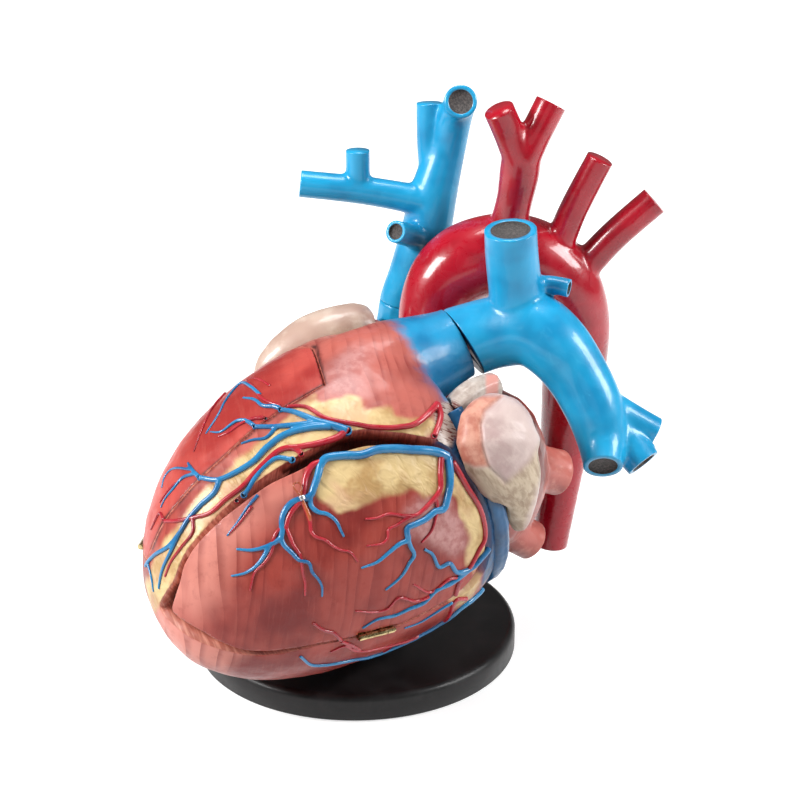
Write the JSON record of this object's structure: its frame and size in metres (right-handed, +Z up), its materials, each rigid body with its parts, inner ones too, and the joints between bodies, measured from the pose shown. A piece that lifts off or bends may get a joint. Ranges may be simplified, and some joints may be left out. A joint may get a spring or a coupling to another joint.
{
  "type": "heart anatomy model",
  "caption": "Oversized human heart teaching model on a round base, with hinged ventricle doors and lift-off great vessels.",
  "frame": {"origin": "centre of the underside of the base disc", "axes": "+Z up, +X to the viewer's right and +Y away from the viewer in the pictured front view"},
  "size_m": [0.3465, 0.2874, 0.372],
  "materials": {
    "muscle_paint": "glossy painted plastic, streaked",
    "vein_blue": "glossy painted plastic",
    "artery_red": "glossy painted plastic",
    "valve_cream": "satin painted plastic",
    "atrium_salmon": "satin painted plastic",
    "collar_grey": "painted plastic",
    "base_black": "satin black plastic",
    "hinge_brass": "polished",
    "screw_steel": "polished"
  },
  "bodies": {
    "stand_and_heart": {"aorta_peg": "screw_steel", "aortic_root": "artery_red", "aortic_valve": "valve_cream", "auricle_collar": "collar_grey", "back_papillary_muscle": "muscle_paint", "base_disc": "base_black", "cava_stub": "vein_blue", "coronary_sinus": "vein_blue", "flange_screw_1": "screw_steel", "flange_screw_2": "screw_steel", "flange_screw_3": "screw_steel", "flange_screw_4": "screw_steel", "front_papillary_muscle": "muscle_paint", "heart_body": "muscle_paint", "inferior_vena_cava": "vein_blue", "left_atrium": "atrium_salmon", "left_auricle": "valve_cream", "left_hinge_body_leaf": "hinge_brass", "left_hinge_body_screw_1": "hinge_brass", "left_hinge_body_screw_2": "hinge_brass", "left_hinge_pin": "hinge_brass", "mitral_valve": "valve_cream", "post_flange": "base_black", "pulmonary_peg": "screw_steel", "pulmonary_trunk": "vein_blue", "pulmonary_valve": "valve_cream", "right_atrium": "atrium_salmon", "right_auricle": "valve_cream", "right_hinge_body_leaf": "hinge_brass", "right_hinge_body_screw_1": "hinge_brass", "right_hinge_body_screw_2": "hinge_brass", "right_hinge_pin": "hinge_brass", "support_cup": "base_black", "support_post": "base_black", "tricuspid_valve": "valve_cream", "vena_cava_peg": "screw_steel"},
    "left_door": {"left_hinge_door_leaf": "hinge_brass", "left_hinge_door_screw_1": "hinge_brass", "left_hinge_door_screw_2": "hinge_brass", "left_ventricle_door": "muscle_paint"},
    "right_door": {"right_hinge_door_leaf": "hinge_brass", "right_hinge_door_screw_1": "hinge_brass", "right_hinge_door_screw_2": "hinge_brass", "right_ventricle_door": "muscle_paint"},
    "pulmonary_vessels": {"pulmonary_arteries": "vein_blue"},
    "aorta_vessel": {"aorta": "artery_red"},
    "cava_vessel": {"superior_vena_cava": "vein_blue"}
  },
  "joints": [
    {"name": "left_door_hinge", "type": "hinge", "parent": "stand_and_heart", "child": "left_door", "pos_m": [0.01519, -0.1312, 0.07605], "axis": [0.8636, 0.5037, -0.0211], "range_deg": [-3, 92]},
    {"name": "right_door_hinge", "type": "hinge", "parent": "stand_and_heart", "child": "right_door", "pos_m": [-0.13348, -0.08359, 0.11729], "axis": [-0.0712, -0.9871, 0.1433], "range_deg": [0, 110]},
    {"name": "pulmonary_lift", "type": "slide", "parent": "stand_and_heart", "child": "pulmonary_vessels", "axis": [0.9292, 0, 0.3697], "range_m": [0, 0.06]},
    {"name": "aorta_lift", "type": "slide", "parent": "stand_and_heart", "child": "aorta_vessel", "axis": [0.3, 0, 0.9539], "range_m": [0, 0.09]},
    {"name": "cava_lift", "type": "slide", "parent": "stand_and_heart", "child": "cava_vessel", "axis": [0, 0, 1], "range_m": [0, 0.08]}
  ]
}
